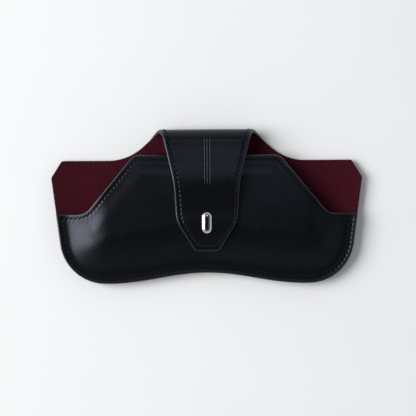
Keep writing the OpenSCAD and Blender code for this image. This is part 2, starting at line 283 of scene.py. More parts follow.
@dataclass(frozen=True)
class WaxedThread(Coating):
    """Bonded polyester thread, three plies twisted and drawn through wax."""

    ply_mm: float = 0.45

    def build(self) -> bpy.types.Material:
        """The twist shows as slanting bands, too fine in the real thread and so drawn at 0.45 mm.

        Returns:
            The material.
        """
        m, place = self.start()
        twist = {"wave_type": "BANDS", "bands_direction": "DIAGONAL", "Scale": per_mm(self.ply_mm) / 2,
                 "Distortion": 1.0, "Detail": 1.0}
        plies = add_node(m, "TexWave", twist, {"Vector": place}, output="Fac")
        ridges = add_node(m, "Bump", {"Strength": 0.4, "Distance": 0.00008}, {"Height": plies})
        return self.coat(m, plies, {"Roughness": 0.6, "Specular IOR Level": 0.07}, {"Normal": ridges})


@dataclass(frozen=True)
class PlatedMetal(Coating):
    """Metal that is plated, tumbled and polished or left as rolled: bright with faint hairlines."""

    roughness: Point
    hairline_mm: float = 0.25

    def build(self) -> bpy.types.Material:
        """Hairlines run down the case: noise that is stretched eight times one way.

        Returns:
            The material.
        """
        m, place = self.start()
        drawn = add_node(m, "Mapping", {"Scale": (1.0, 0.12, 1.0)}, {"Vector": place})
        lines = add_node(m, "TexNoise", {"Scale": per_mm(self.hairline_mm), "Detail": 3.0, "Roughness": 0.7},
                         {"Vector": drawn})
        gloss = add_node(m, "MapRange", ranged(0.3, 0.75, *self.roughness), {"Value": lines})
        marks = add_node(m, "Bump", {"Strength": 0.05, "Distance": 0.00002}, {"Height": lines})
        return self.coat(m, lines, {"Metallic": 1.0}, {"Roughness": gloss, "Normal": marks})


@dataclass(frozen=True)
class FibreBoard(Coating):
    """Bonded leather board, pressed from shavings: flecked grey brown and matt."""

    name: str = "pressed_fibre_board"
    base: str = "#6d6860"
    second: str = "#4c463e"
    fleck_mm: float = 0.8

    def build(self) -> bpy.types.Material:
        """Shavings show as darker flecks of under a millimetre.

        Returns:
            The material.
        """
        m, place = self.start()
        flecks = add_node(m, "TexNoise", {"Scale": per_mm(self.fleck_mm), "Detail": 5.0, "Roughness": 0.8},
                          {"Vector": place})
        rough = add_node(m, "Bump", {"Strength": 0.3, "Distance": 0.0001}, {"Height": flecks})
        return self.coat(m, flecks, {"Roughness": 0.9}, {"Normal": rough})


@dataclass(frozen=True)
class TablePaint(Coating):
    """Matt emulsion, rolled on a board: nearly white, with clouds that hardly show."""

    name: str = "matt_painted_table"
    base: str = "#f2f3f5"
    second: str = "#eeeff2"
    cloud_mm: float = 60.0

    def build(self) -> bpy.types.Material:
        """The roller leaves slightly darker clouds of some 60 mm.

        Returns:
            The material.
        """
        m, place = self.start()
        cloud = add_node(m, "TexNoise", {"Scale": per_mm(self.cloud_mm), "Detail": 2.0}, {"Vector": place})
        return self.coat(m, cloud, {"Roughness": 0.9, "Specular IOR Level": 0.1}, {})


class Finish(Enum):
    """The finishes of the case and its table, by the part that each is for."""

    LEATHER = CalfLeather()
    EDGE = EdgePaint()
    SUEDE = GoatSuede()
    BLACK_THREAD = WaxedThread("waxed_black_thread", "#020203", "#050608")
    WINE_THREAD = WaxedThread("waxed_wine_thread", "#34101a", "#4a1c29")
    NICKEL = PlatedMetal("polished_nickel_plate", "#b9bbbf", "#eceef0", (0.07, 0.16))
    STEEL = PlatedMetal("zinc_plated_sheet_steel", "#7f838a", "#eceef0", (0.32, 0.5))
    BOARD = FibreBoard()
    TABLE = TablePaint()


@cache
def material_of(finish: Finish) -> bpy.types.Material:
    """Return the finish's one material, made the first time that it is asked for."""
    return finish.value.build()


# -------- plane geometry


def arc(centre: tuple[float, float], radius: float, a0: float, a1: float, n: int) -> Array:
    """Points of a circular arc from angle a0 to a1, in degrees, as n + 1 rows of (x, s)."""
    a = np.radians(np.linspace(a0, a1, n + 1))
    return np.column_stack([centre[0] + radius * np.cos(a), centre[1] + radius * np.sin(a)])


def rounded(a: Array, b: Array, c: Array, radius: float, n: int = 24) -> Array:
    """Round the corner b of the line a, b, c.

    The centre lies on the corner's bisector, at radius / sin(half the corner's angle), and the
    arc runs the short way between the two points where the circle touches the lines.

    Args:
        a: a point before the corner.
        b: the corner.
        c: a point after it.
        radius: radius of the rounding in mm.
        n: number of steps.

    Returns:
        The arc's points in order from a to c.
    """
    a, b, c = (np.asarray(p, float) for p in (a, b, c))
    u, v = (a - b) / np.linalg.norm(a - b), (c - b) / np.linalg.norm(c - b)
    half = math.acos(float(u @ v)) / 2
    centre = b + (u + v) / np.linalg.norm(u + v) * radius / math.sin(half)
    p, q = b + u * radius / math.tan(half) - centre, b + v * radius / math.tan(half) - centre
    a0, a1 = math.degrees(math.atan2(p[1], p[0])), math.degrees(math.atan2(q[1], q[0]))
    turn = (a1 - a0 + 180) % 360 - 180
    return arc((centre[0], centre[1]), radius, a0, a0 + turn, n)


def rounded_path(points: list[Point], radii: list[float]) -> Array:
    """Round each inner corner of an open line of straight stretches, radii[k] at points[k + 1]."""
    corners = zip(points, points[1:], points[2:], radii)
    return np.concatenate([rounded(a, b, c, radius) for a, b, c, radius in corners])


def distances(path: Array) -> Array:
    """Length of a path up to each of its points."""
    return np.concatenate([[0.0], np.cumsum(np.linalg.norm(np.diff(path, axis=0), axis=1))])


def at_distances(path: Array, where: Array) -> Array:
    """Points of a path at the given distances along it."""
    s = distances(path)
    return np.column_stack([np.interp(where, s, path[:, k]) for k in range(path.shape[1])])


def nearest_distance(path: Array, point: Point) -> float:
    """Distance along a path to its point that lies nearest to `point`."""
    return float(distances(path)[np.argmin(np.linalg.norm(path - np.asarray(point), axis=1))])


def steps_between(stops: list[float], counts: list[int]) -> Array:
    """Even steps between stops along a path, with counts[k] steps from stop k to the next."""
    runs = [np.linspace(a, b, n, endpoint=False) for a, b, n in zip(stops, stops[1:], counts)]
    return np.concatenate([*runs, [stops[-1]]])


def mirrored_ring(half: Array) -> Array:
    """A whole closed outline from its right half, which runs from the middle line back to it."""
    left = half[-2:0:-1] * np.array([-1.0, 1.0])
    return np.concatenate([half, left])


def inset_ring(
    ring: Array, depth: float, settle: int = 10, near: float = 0.985, reach: int = 17
) -> Array:
    """Move a closed outline inwards by `depth`.

    Each point moves along its inward normal. At a corner tighter than the depth some moved
    points come closer to the outline than the depth; these are spaced evenly between the good
    ones beside them and smoothed, so that no two rows cross.

    Args:
        ring: anticlockwise outline, (n, 2).
        depth: how far to move it in mm.
        settle: number of smoothing passes round the corners.
        near: share of the depth that a point has to keep from the outline.
        reach: number of points round a bad one that are smoothed with it.

    Returns:
        The inset outline, point for point.
    """
    n = len(ring)
    along = np.roll(ring, -1, axis=0) - np.roll(ring, 1, axis=0)
    along /= np.linalg.norm(along, axis=1)[:, None]
    moved = ring + depth * np.column_stack([-along[:, 1], along[:, 0]])
    gap = np.sqrt(((moved[:, None, :] - ring[None, :, :]) ** 2).sum(2)).min(1)
    good = gap > near * depth
    index = np.arange(n)
    kept = np.column_stack([np.interp(index, index[good], moved[good, k], period=n) for k in (0, 1)])
    spread = np.convolve(np.tile(~good, 3).astype(float), np.ones(reach), "same")[n : 2 * n] > 0
    share = np.where(spread, 0.5, 0.0)[:, None]
    for _ in range(settle):
        middle = (np.roll(kept, 1, axis=0) + np.roll(kept, -1, axis=0)) / 2
        kept = kept + share * (middle - kept)
    return kept


def coons(low: Array, high: Array, left: Array, right: Array, across: Array) -> Array:
    """Fill a four-sided area from its edges.

    The surface is the blend of the low and high edges, plus the blend of the left and right
    edges, less the blend of the four corners.

    Args:
        low: (n + 1, 2) points of the low edge, from left to right.
        high: the same for the high edge.
        left: (m + 1, 2) points of the left edge, from low to high.
        right: the same for the right edge.
        across: (n + 1) shares from 0 to 1 with which the right edge counts at each column.

    Returns:
        (n + 1, m + 1, 2) points.
    """
    v = np.linspace(0, 1, len(left))[None, :, None]
    u = across[:, None, None]
    ends = (1 - u) * ((1 - v) * low[0] + v * high[0]) + u * ((1 - v) * low[-1] + v * high[-1])
    return (
        (1 - v) * low[:, None, :] + v * high[:, None, :]
        + (1 - u) * left[None, :, :] + u * right[None, :, :] - ends
    )


def smooth_step(t: Array) -> Array:
    """0 before 0, 1 after 1, and an S curve between."""
    t = np.clip(t, 0, 1)
    return t * t * (3 - 2 * t)


def bump(distance: Array, width: float) -> Array:
    """A bell of height 1 and the given width round distance 0."""
    return np.exp(-((distance / width) ** 2))


# -------- the case's form


@dataclass
class CaseForm:
    """Sizes of the case in mm, and the functions that lay a cutting plan on its closed form.

    The overall sizes half_span, lobe_y, tip_y, fold_r and fold_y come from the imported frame.
    """

    bottom_dip: float = 5.7
    lobe_x: float = 52.0
    corner_r: float = 24.5
    side_lean: float = 7.7
    wing_y: float = 15.5
    wing_top_y: float = 24.6
    wing_chamfer: float = 5.6
    wing_r: float = 2.0
    neck_x: float = 31.6
    sweep_angle: float = 42.5
    sweep_r: float = 27.5
    sweep_hold: float = 0.8
    mouth_y: float = -3.8
    mouth_r: float = 9.0
    mouth_curl: float = 1.3
    curl_y: float = 17.5
    curl_length: float = 1.4
    mouth_room: Point = (3.0, 8.0)
    hump_y: float = 27.4
    hump_foot_x: float = 64.7
    hump_top_x: float = 38.7
    hump_r: float = 6.0
    pocket_height: float = 6.5
    flap_root_x: float = 22.6
    flap_waist: Point = (17.4, 12.0)
    waist_r: float = 60.0
    flap_side_x: float = 16.3
    shoulder_y: float = -8.0
    shoulder_r: float = 18.0
    tip_x: float = 6.4
    tip_r: float = 3.0
    flap_bend_y: float = -5.0
    flap_bend_r: float = 60.0
    flap_crown: float = 1.9
    leather: float = 1.3
    lining: float = 0.8
    ply_gap: float = 0.1
    rim_lift: float = 2.4
    lift_reach: float = 22.0
    seam_width: float = 4.5
    swell_reach: float = 24.0
    swell_soft: float = 1.8
    back_room: tuple[float, float, float] = (56.0, -24.0, 14.0)
    board_room: float = 0.6
    board_fade: float = 14.0
    point_step: float = 0.1

    def __post_init__(self) -> None:
        """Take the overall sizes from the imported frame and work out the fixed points."""
        low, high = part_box("back_leather")
        self.half_span, self.lobe_y = high.x / MM, low.y / MM
        low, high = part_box("fold_leather")
        self.fold_r = (high.z - low.z) / MM / 2
        self.fold_y = high.y / MM - self.fold_r
        self.tip_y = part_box("flap_leather")[0].y / MM
        self.sheet = self.leather + self.lining
        self.bend_r = self.flap_bend_r + self.sheet
        lean, corner_y = math.radians(self.side_lean), self.lobe_y + self.corner_r
        corner_x = self.side_x(corner_y - self.corner_r * math.sin(lean)) - self.corner_r * math.cos(lean)
        self.corner_at = (float(corner_x), corner_y)
        self.wing_corner = (self.half_span, self.wing_y)
        self.flap_start = self.fold_y + math.pi * self.fold_r
        self.bend_start = self.flap_start + self.fold_y - self.flap_bend_y

    def side_x(self, y: Array | float) -> Array | float:
        """Half width of the pouch at height y: a straight line that leans by side_lean."""
        return self.half_span - (self.wing_y - y) * math.tan(math.radians(self.side_lean))

    def bottom_y(self, x: Array) -> Array:
        """Lowest Y at x: half a cosine wave between the two lobes, and level beyond them."""
        wave = self.bottom_dip * (1 + np.cos(np.pi * np.abs(x) / self.lobe_x)) / 2
        return self.lobe_y + np.where(np.abs(x) < self.lobe_x, wave, 0.0)

    def rim_distance(self, plan: Array) -> Array:
        """Distance from the sewn sides and bottom: to the corner's arc, or the nearer line.

        Args:
            plan: (..., 2) plan points of the pouch.

        Returns:
            (...) distances in mm.
        """
        x, y = np.abs(plan[..., 0]), plan[..., 1]
        dx, dy = x - self.corner_at[0], y - self.corner_at[1]
        in_corner = (dx > 0) & (np.degrees(np.arctan2(dy, dx)) < -self.side_lean)
        side = (self.side_x(y) - x) * math.cos(math.radians(self.side_lean))
        return np.where(in_corner, self.corner_r - np.hypot(dx, dy), np.minimum(side, y - self.bottom_y(x)))

    def base_z(self, plan: Array) -> Array:
        """Height of the back's underside: it rises to the sewn rim as a parabola."""
        return self.rim_lift * (1 - np.clip(self.rim_distance(plan) / self.lift_reach, 0, 1)) ** 2

    def pocket_z(self, plan: Array) -> Array:
        """Height inside the pocket: a quarter sine wave inwards from the sewn strip.

        It starts softly: the distance d from the strip becomes (sqrt(d^2 + w^2) + d) / 2.

        Args:
            plan: (..., 2) plan points.

        Returns:
            (...) heights in mm.
        """
        d = self.rim_distance(plan) - self.seam_width
        soft = (np.sqrt(d**2 + self.swell_soft**2) + d) / 2
        return self.pocket_height * np.sin(np.pi / 2 * np.clip(soft / self.swell_reach, 0, 1))

    def mouth_distance(self, plan: Array) -> Array:
        """Distance from the mouth's edge: below its sides, or below both the hump's slope and top.

        Args:
            plan: (..., 2) plan points of the front.

        Returns:
            (...) distances in mm.
        """
        x, y = np.abs(plan[..., 0]), plan[..., 1]
        rise, run = self.hump_y - self.mouth_y, self.hump_foot_x - self.hump_top_x
        slope = ((self.hump_top_x - x) * rise + (self.hump_y - y) * run) / math.hypot(rise, run)
        return np.maximum(self.mouth_y - y, np.minimum(slope, self.hump_y - y))

    def back_gap(self, plan: Array) -> Array:
        """Space for the back's board: full over its rectangle, then closing softly round it.

        Args:
            plan: (..., 2) plan points of the sheet.

        Returns:
            (...) gaps in mm between leather and lining.
        """
        x, y = np.abs(plan[..., 0]), plan[..., 1]
        half_x, low, high = self.back_room
        out = np.hypot(np.maximum(0, x - half_x), np.maximum(0, np.maximum(low - y, y - high)))
        return self.board_room * (1 - smooth_step((out - 0.5) / self.board_fade)) * (y < self.fold_y)

    def front_gap(self, plan: Array) -> Array:
        """Space for the front's board and disc: it opens softly from the seam and from the mouth.

        Args:
            plan: (..., 2) plan points of the front.

        Returns:
            (...) gaps in mm between leather and lining.
        """
        start, width = self.mouth_room
        from_seam = smooth_step((self.rim_distance(plan) - self.seam_width) / self.board_fade)
        return self.board_room * from_seam * smooth_step((self.mouth_distance(plan) - start) / width)

    def lay_sheet(self, plan: Array, depth: Array) -> Array:
        """Lay the back, fold and flap on the case's form.

        Up to fold_y the sheet lies on its back at base_z. It then follows a half circle of
        radius fold_r, runs on with a low crown, a sine squared of height flap_crown, and follows
        a circle of radius flap_bend_r down to its tip.

        Args:
            plan: (..., 2) plan points.
            depth: distance inwards from the outer face, of the same shape without the last axis.

        Returns:
            (..., 3) points in mm.
        """
        x, s = plan[..., 0], plan[..., 1]
        turn = np.clip((s - self.fold_y) / self.fold_r, 0, np.pi)
        flat = np.clip(s - self.flap_start, 0, self.bend_start - self.flap_start)
        bend = np.maximum(s - self.bend_start, 0) / self.bend_r
        on_back, bent = s <= self.fold_y, s > self.bend_start
        y = np.where(on_back, s, self.fold_y + (self.fold_r - depth) * np.sin(turn) - flat)
        z = np.where(on_back, self.base_z(plan) + depth, self.fold_r - (self.fold_r - depth) * np.cos(turn))
        z = z + self.flap_crown * np.sin(np.pi * (flat / (self.bend_start - self.flap_start))) ** 2
        y = np.where(bent, self.flap_bend_y - (self.bend_r - depth) * np.sin(bend), y)
        z = np.where(bent, 2 * self.fold_r - self.bend_r + (self.bend_r - depth) * np.cos(bend), z)
        return np.stack([x, y, z], axis=-1)

    def lay_front(self, plan: Array, depth: Array) -> Array:
        """Lay the front panel on the pocket: its outer face less the depth, as lay_sheet does.

        The top of the hump curls down to the mouth by mouth_curl, along the start of an S curve.

        Args:
            plan: (..., 2) plan points.
            depth: distance inwards from the outer face.

        Returns:
            (..., 3) points in mm.
        """
        curl = smooth_step((plan[..., 1] - self.curl_y) / (self.hump_y - self.curl_y) / self.curl_length)
        top = (
            self.base_z(plan) + self.sheet + self.ply_gap + self.pocket_z(plan)
            + self.sheet + self.front_gap(plan) - self.mouth_curl * curl
        )
        return np.stack([plan[..., 0], plan[..., 1], top - depth], axis=-1)

    def fold_edge(self, n: int) -> Array:
        """Edge of the sheet round the fold: a cubic that leaves the neck at most of its slope.

        Args:
            n: number of steps.

        Returns:
            (n + 1, 2) plan points from the neck to the flap.
        """
        t = np.linspace(0, 1, n + 1)
        run = self.fold_r * math.pi
        leave = -self.sweep_hold * run / math.tan(math.radians(self.sweep_angle))
        waist_x, waist_y = self.flap_waist
        enter = -self.sweep_hold * run * (self.flap_root_x - waist_x) / (self.fold_y - waist_y)
        x = (
            self.neck_x * (2 * t**3 - 3 * t**2 + 1) + self.flap_root_x * (3 * t**2 - 2 * t**3)
            + leave * (t**3 - 2 * t**2 + t) + enter * (t**3 - t**2)
        )
        return np.column_stack([x, self.fold_y + run * t])

    def flap_s(self, y: Array | float) -> Array:
        """Plan length s of a point of the flap that lies at Y on the closed case."""
        bent = np.arcsin(np.clip((self.flap_bend_y - y) / self.bend_r, 0, 1)) * self.bend_r
        return np.where(y > self.flap_bend_y, self.flap_start + self.fold_y - y, self.bend_start + bent)

    def bottom_half(self) -> Array:
        """Right half of the sewn bottom edge with its round corner, up to where the side starts.

        Returns:
            (n, 2) plan points.
        """
        x = np.linspace(0, self.lobe_x, 160)
        low = np.column_stack([x, self.bottom_y(x)])
        return np.concatenate([low, arc(self.corner_at, self.corner_r, -90, -self.side_lean, 120)])

    def sheet_half(self) -> Array:
        """Right half of the outline of back, fold and flap, from the bottom's middle to the tip's.

        Returns:
            (n, 2) plan points.
        """
        sweep_x = self.neck_x + (self.fold_y - self.wing_top_y) / math.tan(math.radians(self.sweep_angle))
        wing_top, tip_middle = (self.half_span - self.wing_chamfer, self.wing_top_y), (0.0, self.tip_y)
        flap = np.concatenate([rounded_path(
            [(self.flap_root_x, self.fold_y), self.flap_waist, (self.flap_side_x, self.shoulder_y),
             (self.tip_x, self.tip_y), tip_middle],
            [self.waist_r, self.shoulder_r, self.tip_r],
        ), [tip_middle]])
        flap = at_distances(flap, np.linspace(0, distances(flap)[-1], 300))
        flap[:, 1] = self.flap_s(flap[:, 1])
        wing = rounded_path(
            [(self.side_x(0), 0.0), self.wing_corner, wing_top, (sweep_x, self.wing_top_y),
             (self.neck_x, self.fold_y)],
            [self.wing_r, self.wing_r, self.sweep_r],
        )
        outline = np.concatenate([self.bottom_half(), wing, self.fold_edge(80), flap])
        return at_distances(outline, np.arange(0, distances(outline)[-1], self.point_step))

    def front_half(self) -> Array:
        """Right half of the front panel's outline, from the bottom's middle to the hump's.

        Returns:
            (n, 2) plan points.
        """
        end, middle = (self.side_x(self.mouth_y), self.mouth_y), (0.0, self.hump_y)
        mouth = rounded_path([end, (self.hump_foot_x, self.mouth_y), (self.hump_top_x, self.hump_y), middle],
                             [self.mouth_r, self.hump_r])
        outline = np.concatenate([self.bottom_half(), [end], mouth, [middle]])
        return at_distances(outline, np.arange(0, distances(outline)[-1], self.point_step))

    def patch_corner(self) -> Point:
        """Point of the round bottom corner where the low and the side edge of a patch meet."""
        return tuple(arc(self.corner_at, self.corner_r, -49, -49, 1)[0])


@dataclass
class StitchLine:
    """A line of saddle stitches: inset from the edge, with one slanting stitch to each pitch."""

    inset: float = 2.4
    pitch: float = 2.4
    groove: float = 0.07
    groove_width: float = 0.8
    hole: float = 0.13
    hole_size: Point = (0.7, 0.62)
    ridges: tuple[tuple[float, float, float], ...] = ((1.0, 0.5, 0.06), (-1.0, 0.45, 0.03))

    def relief(self, inset: Array, phase: Array) -> Array:
        """How far the thread has pulled the surface in.

        The line is a shallow bell-shaped groove with a slanting dimple at each needle hole, and
        the leather swells a little between the holes on both sides of it: each ridge has a
        distance from the line, a width and a height.

        Args:
            inset: distance from the edge in mm.
            phase: distance along the line in pitches, whole at the holes.

        Returns:
            Depth in mm, negative where the surface swells.
        """
        off = phase - np.round(phase)
        across = inset - self.inset
        broad, long = self.hole_size
        pulled = self.groove * bump(across, self.groove_width)
        holes = self.hole * bump(across, broad) * bump(off * self.pitch - 0.5 * across, long)
        swell = sum(height * bump(across - beside, width) for beside, width, height in self.ridges)
        return pulled + holes - swell * np.cos(np.pi * off) ** 2


# -------- panels cut to a ring


@dataclass
class PanelRing:
    """A closed outline, its inset row and the patches that fill it, ready to be laid on the form.

    Ids of the filling's points: the ring's even points come first, then the inner points. A
    panel that is made as two pieces is parted along the row `neck`; `second` marks the quads of
    the second piece, which holds the ring's middle.
    """

    outline: Array
    inner: Array
    plan: Array
    quads: Array
    neck: Array | None = None
    second: Array | None = None
    line: StitchLine = field(default_factory=StitchLine)

    def __post_init__(self) -> None:
        """Space the stitches evenly round the ring, so that their line closes on itself."""
        sewn = self.row(self.line.inset)
        self.closed = np.concatenate([sewn, sewn[:1]])
        s = distances(self.closed)
        self.count = int(round(s[-1] / self.line.pitch))
        self.phase = s[:-1] / s[-1] * self.count

    def row(self, inset: float) -> Array:
        """The outline moved inwards by `inset`."""
        return self.outline + inset / BAND * (self.inner - self.outline)

    def stitch_middles(self) -> tuple[Array, Array]:
        """Find where the stitches lie.

        Returns:
            Middle of each stitch on the plan and the unit direction of the line there.
        """
        middle = np.arange(self.count) + 0.5
        around = np.append(self.phase, self.count)
        before, at, after = (
            np.column_stack([np.interp(middle + d, around, self.closed[:, k]) for k in (0, 1)])
            for d in (-0.25, 0.0, 0.25)
        )
        along = after - before
        return at, along / np.linalg.norm(along, axis=1)[:, None]


def grid_quads(ids: Array) -> Array:
    """Quads of a grid of point ids, anticlockwise on the plan."""
    return np.stack([ids[:-1, :-1], ids[1:, :-1], ids[1:, 1:], ids[:-1, 1:]], axis=-1).reshape(-1, 4)


def fill(
    points: list[Array], low: Array, high: Array, left: Array, right: Array, across: Array
) -> Array:
    """Fill four edges of known point ids and add the inner points.

    Args:
        points: all plan points so far; the new ones are appended to it as one array.
        low: ids of the low edge, from left to right.
        high: ids of the high edge.
        left: ids of the left edge, from low to high.
        right: ids of the right edge.
        across: shares of the right edge for each column.

    Returns:
        The quads of the filled area.
    """
    known = np.concatenate(points)
    surface = coons(known[low], known[high], known[left], known[right], across)
    ids = np.zeros(surface.shape[:2], int)
    inner = surface[1:-1, 1:-1]
    ids[1:-1, 1:-1] = np.arange(inner.shape[0] * inner.shape[1]).reshape(inner.shape[:2]) + len(known)
    points.append(inner.reshape(-1, 2))
    ids[:, 0], ids[:, -1], ids[0, :], ids[-1, :] = low, high, left, right
    return grid_quads(ids)


def sheet_ring(form: CaseForm) -> PanelRing:
    """Cut the back, fold and flap as one panel.

    The columns crowd at the middle line, where the creases run, and the ring has an even
    number of steps from each key point to the next.

    Args:
        form: the case's form.

    Returns:
        The ring with two patches, the back and the flap, that share the neck's line.
    """
    half = form.sheet_half()
    across, fine, fine_step = 96, 20, 0.115
    counts = [150 + across, 124, 150, 160]
    shoulder = (form.flap_side_x, float(form.flap_s(form.shoulder_y)))
    keys = (form.patch_corner(), form.wing_corner, (form.neck_x, form.fold_y), shoulder)
    stops = [0.0, *(nearest_distance(half, key) for key in keys)]
    end, fine_run = distances(half)[-1], fine * fine_step
    tip = end - np.concatenate([
        np.linspace(end - stops[-1], fine_run, across - 2 * fine, endpoint=False),
        np.linspace(fine_run, 0, 2 * fine + 1),
    ])
    outline = mirrored_ring(at_distances(half, np.append(steps_between(stops, counts)[:-1], tip)))
    inner = inset_ring(outline, BAND)
    even = inner[::2]
    n = len(even)
    r1, r2, r3, r4 = (k // 2 for k in np.cumsum(counts))
    neck = even[r3]
    outer_x = np.linspace(fine_run, neck[0], across // 2 - fine + 1)[1:]
    right_x = np.concatenate([np.arange(fine + 1) * fine_step, outer_x])
    neck_x = np.concatenate([-right_x[:0:-1], right_x])
    points = [even, np.column_stack([neck_x[1:-1], np.full(across - 1, neck[1])])]
    neck_ids = np.concatenate([[n - r3], np.arange(n, n + across - 1), [r3]])
    low = np.arange(-r1, r1 + 1) % n
    high = np.concatenate([np.arange(n - r2, n - r3, -1), neck_ids, np.arange(r3 - 1, r2 - 1, -1)])
    back = fill(points, low, high, np.arange(n - r1, n - r2 - 1, -1), np.arange(r1, r2 + 1),
                np.linspace(0, 1, len(low)))
    share = 0.5 + 0.5 * np.sign(neck_x) * (neck_x / neck[0]) ** 2
    tongue = fill(points, neck_ids, np.arange(n - r4, r4 - 1, -1), np.arange(n - r3, n - r4 - 1, -1),
                  np.arange(r3, r4 + 1), share)
    second = np.arange(len(back) + len(tongue)) >= len(back)
    return PanelRing(outline, inner, np.concatenate(points), np.concatenate([back, tongue]), neck_ids, second)


def front_ring(form: CaseForm) -> PanelRing:
    """Cut the front panel.

    Args:
        form: the case's form.

    Returns:
        The ring with one patch between the bottom, the two sides and the mouth's edge.
    """
    half = form.front_half()
    end = (float(form.side_x(form.mouth_y)), form.mouth_y)
    keys = (form.patch_corner(), end)
    stops = [0.0, *(nearest_distance(half, key) for key in keys), distances(half)[-1]]
    counts = [240, 96, 240]
    outline = mirrored_ring(at_distances(half, steps_between(stops, counts)))
    inner = inset_ring(outline, BAND)
    points = [inner[::2]]
    n = len(points[0])
    r1, r2 = (k // 2 for k in np.cumsum(counts)[:2])
    low = np.arange(-r1, r1 + 1) % n
    quads = fill(points, low, np.arange(n - r2, r2 - 1, -1), np.arange(n - r1, n - r2 - 1, -1),
                 np.arange(r1, r2 + 1), np.linspace(0, 1, len(low)))
    return PanelRing(outline, inner, np.concatenate(points), quads)


@dataclass
class Ply:
    """One layer of a panel as a closed shell: a shown face, a round edge and a plain hidden face.

    Depths are measured from the panel's outer face. `shown` is the depth of the shown face and
    `hidden` that of the other, as functions of plan points; `relief` adds to the shown face's
    depth, measured into the ply. The painted edge is as wide as its rounding.
    """

    ring: PanelRing
    place: Placing
    shown: Callable[[Array], Array]
    hidden: Callable[[Array], Array]
    relief: Relief
    edge_r: float
    hidden_edge_r: float = 0.12

    def profile(self) -> list[tuple[float, float, bool]]:
        """Rows from the shown face round the edge to the hidden one.

        The edge is a quarter circle of radius edge_r: inset r - r cos b and drop r - r sin b,
        for b from 90 to 0 degrees. The hidden face's edge has a small quarter circle of its own.

        Returns:
            For each row its inset, its drop, and whether it is on the shown face.
        """
        flat = [3.7, 3.4, 3.15, 2.9, 2.65, 2.4, 2.15, 1.9, 1.6, 1.3, 1.0]
        rows = [(e, 0.0, True) for e in flat if e > self.edge_r * 1.15]
        quarters = ((self.edge_r, (90, 66, 46, 27, 11, 0), True), (self.hidden_edge_r, (0, 45, 90), False))
        for r, angles, on_shown in quarters:
            rows += [(r * (1 - math.cos(b)), r * (1 - math.sin(b)), on_shown) for b in np.radians(angles)]
        return rows + [(1.2, 0.0, False), (3.2, 0.0, False)]

    def lay(self, plan: Array, inset: float, phase: Array, drop: float, on_shown: bool) -> Array:
        """Lay one row or area of one face.

        Args:
            plan: plan points.
            inset: their distance from the edge.
            phase: their place along the stitch line, in pitches.
            drop: how far the edge's rounding lowers them into the ply.
            on_shown: True for the shown face.

        Returns:
            (n, 3) points in mm.
        """
        near, far = self.shown(plan), self.hidden(plan)
        inwards = np.sign(far - near)
        if on_shown:
            return self.place(plan, near + inwards * (drop + self.relief(plan, inset, phase)))
        return self.place(plan, far - inwards * drop)

    def section(self, first: int, last: int, row_count: int) -> list[Array]:
        """Close the ply along its neck: quads between the two faces and a fan at each side.

        Args:
            first: id of the shown filling's first point.
            last: the same for the hidden filling.
            row_count: number of rows in the strip.

        Returns:
            Quads and triangles of the cut, turned outwards for the first piece.
        """
        neck = self.ring.neck
        top, bottom = neck + first, neck + last
        rows = np.arange(row_count) * len(self.ring.outline)
        left, right = (np.append(top[end], rows + 2 * neck[end]) for end in (0, -1))
        fans = [
            np.column_stack([np.full(row_count, bottom[-1]), right[:-1], right[1:]]),
            np.column_stack([np.full(row_count, bottom[0]), left[1:], left[:-1]]),
        ]
        return [np.column_stack([top[:-1], top[1:], bottom[1:], bottom[:-1]]), np.concatenate(fans)]

    def build(self, names: list[str], finish: Finish) -> list[bpy.types.Object]:
        """Make the shell, as one piece or as two that meet at the neck.

        Rows of the profile make a strip of quads round the ring. Each end of the strip meets
        a patch with half as many points, three triangles to each pair of steps. A piece that is
        parted off is closed by a section with points of its own.

        Args:
            names: the names of the pieces.
            finish: finish of both faces.

        Returns:
            The new objects.
        """
        ring, rows = self.ring, self.profile()
        n, filled, no_phase = len(ring.outline), len(ring.plan), np.zeros(1)
        base, first, last = n * (len(rows) - 1), n * len(rows), n * len(rows) + filled
        laid = [self.lay(ring.row(inset), inset, ring.phase, drop, shown) for inset, drop, shown in rows]
        laid += [self.lay(ring.plan, FAR_IN, no_phase, 0.0, shown) for shown in (True, False)]
        points = np.concatenate(laid)
        insets = np.concatenate([np.repeat([row[0] for row in rows], n), np.full(2 * filled, FAR_IN)])
        i = np.arange(n)
        j = (i + 1) % n
        strip = [np.column_stack([i + n, j + n, j, i]) + n * k for k in range(len(rows) - 1)]
        even, after = i[::2], (i[::2] + 2) % n
        b0, b1 = even // 2, after // 2
        joins = np.concatenate([
            np.column_stack([even, even + 1, b0 + first]),
            np.column_stack([even + 1, b1 + first, b0 + first]),
            np.column_stack([even + 1, after, b1 + first]),
            np.column_stack([b0 + last, even + 1 + base, even + base]),
            np.column_stack([b0 + last, b1 + last, even + 1 + base]),
            np.column_stack([b1 + last, after + base, even + 1 + base]),
        ])
        quads = np.concatenate([*strip, ring.quads + first, ring.quads[:, ::-1] + last])
        painted = [max(a[0], b[0]) <= self.edge_r + TINY for a, b in zip(rows, rows[1:])]
        slots = np.append(np.repeat(painted, n), np.zeros(2 * len(ring.quads)))
        if ring.neck is None:
            return [self.piece(names[0], points, insets, [quads, joins], slots, finish)]
        beyond = (i >= 2 * ring.neck[-1]) & (i < 2 * ring.neck[0])
        of_quads = np.concatenate([np.tile(beyond, len(rows) - 1), ring.second, ring.second])
        of_joins = np.tile(beyond[::2], 6)
        cut = [faces + len(points) for faces in self.section(first, last, len(rows))]
        points, insets = np.tile(points, (2, 1)), np.tile(insets, 2)
        made = []
        for part, name in enumerate(names):
            caps = [faces[:, ::-1] if part else faces for faces in cut]
            shell = [quads[of_quads == part], joins[of_joins == part], *caps]
            made.append(self.piece(name, points, insets, shell, slots[of_quads == part], finish))
        return made

